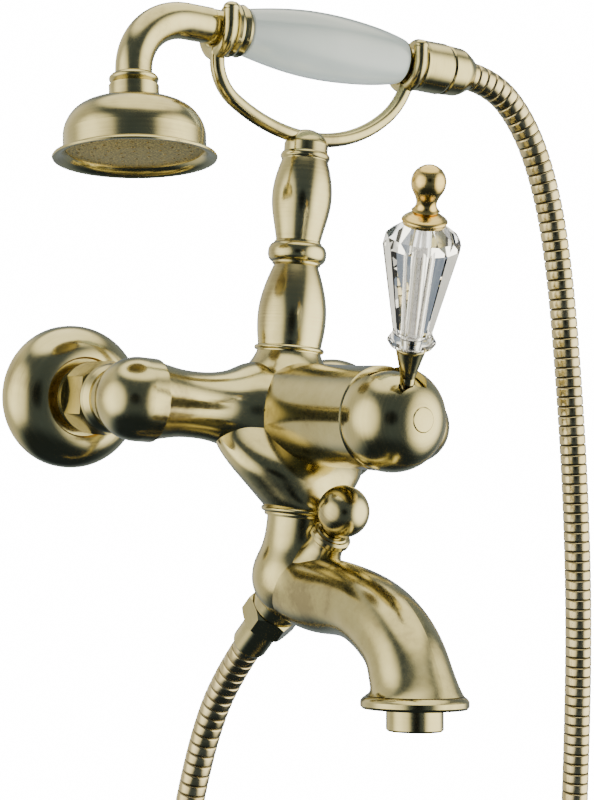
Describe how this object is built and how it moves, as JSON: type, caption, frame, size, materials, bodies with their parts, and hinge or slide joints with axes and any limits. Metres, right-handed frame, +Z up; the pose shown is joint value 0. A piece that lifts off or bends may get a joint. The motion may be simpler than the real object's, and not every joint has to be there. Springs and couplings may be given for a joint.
{
  "type": "wall-mounted bath mixer",
  "caption": "Antique brass wall bath mixer: single crystal lever, curved spout with pull diverter, and a porcelain-handled shower handset on a column cradle with metal hose.",
  "frame": {"origin": "midway between the two wall inlets, on the wall surface", "axes": "+X along the wall to the user's right, -Y out of the wall towards the user, +Z up"},
  "size_m": [0.3405, 0.2301, 0.6901],
  "materials": {
    "antique_brass": "brushed antique bronze, satin",
    "gold": "polished gold-coloured plating",
    "crystal": "clear cut crystal, polished facets",
    "porcelain": "white glazed porcelain",
    "hose_metal": "interlocked metal hose, antique bronze",
    "rubber": "black rubber",
    "white_ceramic": "lapped ceramic",
    "grey_plastic": "moulded plastic",
    "steel": "stainless steel",
    "plain_brass": "machined brass"
  },
  "bodies": {
    "fixed": {"wall_connector_left": "antique_brass", "wall_connector_right": "antique_brass", "wall_rose_left": "antique_brass", "wall_rose_right": "antique_brass", "union_nut_left": "antique_brass", "union_nut_right": "antique_brass", "inlet_seal_left": "rubber", "inlet_seal_right": "rubber", "mixer_body": "antique_brass", "cartridge_body": "grey_plastic", "cartridge_seals": "rubber", "fixed_disc": "white_ceramic", "cartridge_nut": "plain_brass", "column": "antique_brass", "column_stud": "steel", "cradle": "antique_brass", "neck_ring": "antique_brass", "spout": "antique_brass", "aerator_housing": "antique_brass", "aerator_insert": "grey_plastic", "aerator_washer": "rubber", "diverter_bonnet": "antique_brass", "diverter_spring": "steel", "hose_nut": "antique_brass", "hose_sleeve": "antique_brass", "hose_washer_low": "rubber", "hose": "hose_metal"},
    "rotor": {"rotor": "grey_plastic", "pivot_pin": "steel", "lever_cap": "antique_brass", "grub_screw": "steel", "index_button": "antique_brass"},
    "lever": {"spindle": "steel", "lever_hub": "antique_brass", "lever_rod": "steel", "lever_ferrule": "antique_brass", "crystal_cup": "antique_brass", "crystal": "crystal", "gold_collar": "gold", "finial": "gold"},
    "disc": {"moving_disc": "white_ceramic", "disc_carrier": "grey_plastic"},
    "diverter": {"diverter_knob": "antique_brass", "diverter_stem": "plain_brass", "diverter_valve": "rubber"},
    "handset": {"gooseneck": "antique_brass", "front_ferrule": "antique_brass", "grip": "porcelain", "inner_tube": "plain_brass", "handset_tail": "antique_brass", "head_collar": "antique_brass", "shower_head": "antique_brass", "rose_plate": "antique_brass", "hose_cone": "antique_brass", "hose_washer_top": "rubber"}
  },
  "joints": [
    {"name": "temp_swing", "type": "hinge", "parent": "fixed", "child": "rotor", "pos_m": [0, -0.1543, 0.0033], "axis": [0, 1, 0], "range_deg": [-28, 62]},
    {"name": "flow_lift", "type": "hinge", "parent": "rotor", "child": "lever", "pos_m": [0, -0.1543, 0.0033], "axis": [-0.9563, 0, -0.2924], "range_deg": [0, 20]},
    {"name": "disc_slide", "type": "slide", "parent": "rotor", "child": "disc", "axis": [0.2924, 0, -0.9563], "range_m": [0, 0.0079]},
    {"name": "diverter_pull", "type": "slide", "parent": "fixed", "child": "diverter", "axis": [0, -0.5878, 0.809], "range_m": [0, 0.006], "stiffness_N_per_m": 350, "springref_m": -0.006, "deforming": ["diverter_spring"]},
    {"name": "handset_lift", "type": "slide", "parent": "fixed", "child": "handset", "axis": [0, 0, 1], "range_m": [0, 0.045], "deforming": ["hose"]}
  ],
  "couplings": [
    {"joint": "disc_slide", "follows": "flow_lift", "m_per_rad": 0.022536}
  ]
}
